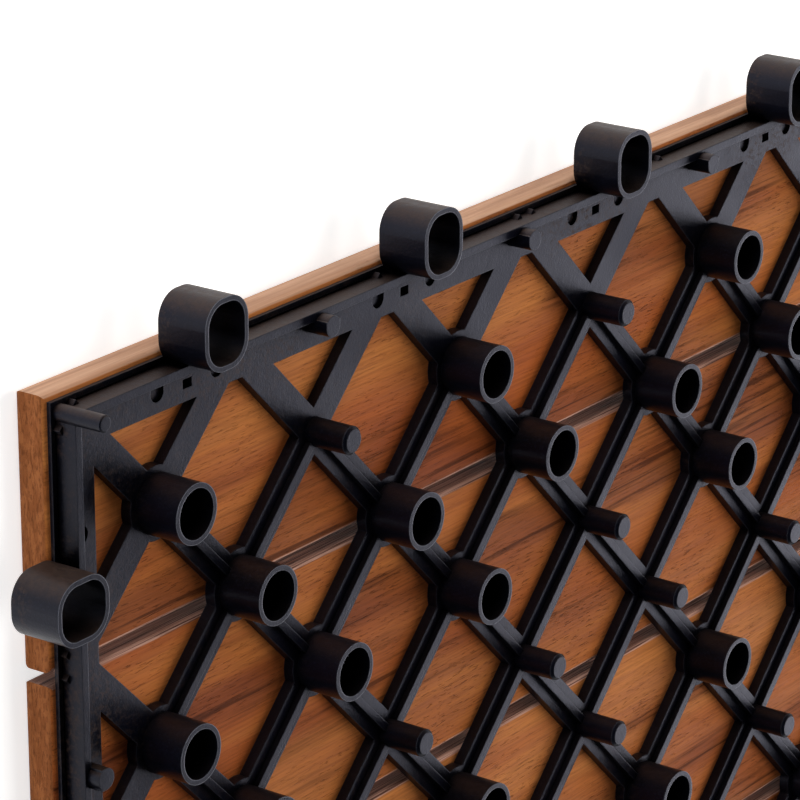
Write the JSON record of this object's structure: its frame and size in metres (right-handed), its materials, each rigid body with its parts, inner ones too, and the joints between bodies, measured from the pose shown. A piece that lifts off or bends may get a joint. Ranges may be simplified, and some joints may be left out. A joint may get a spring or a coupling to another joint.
{
  "type": "interlocking deck tile",
  "caption": "Square wooden deck tile: slats screwed to a black moulded lattice base with legs, edge loops and pegs that lock it to its neighbours, shown base up.",
  "frame": {"origin": "centre of the deck face of the slats", "axes": "+X along the slats, +Z from the deck face towards the legs; the edges with loops are at -X and +Y, those with pegs at +X and -Y"},
  "size_m": [0.3106, 0.3106, 0.0162],
  "materials": {
    "base_plastic": "black moulded polypropylene, soft sheen",
    "slat_wood": "oiled hardwood, warm red-brown with darker streaks",
    "screw_steel": "plain zinc-plated steel"
  },
  "bodies": {
    "root": {"base": "base_plastic", "slat_1": "slat_wood", "slat_2": "slat_wood", "slat_3": "slat_wood", "slat_4": "slat_wood", "slat_5": "slat_wood", "slat_6": "slat_wood", "screws": "screw_steel"}
  },
  "joints": []
}
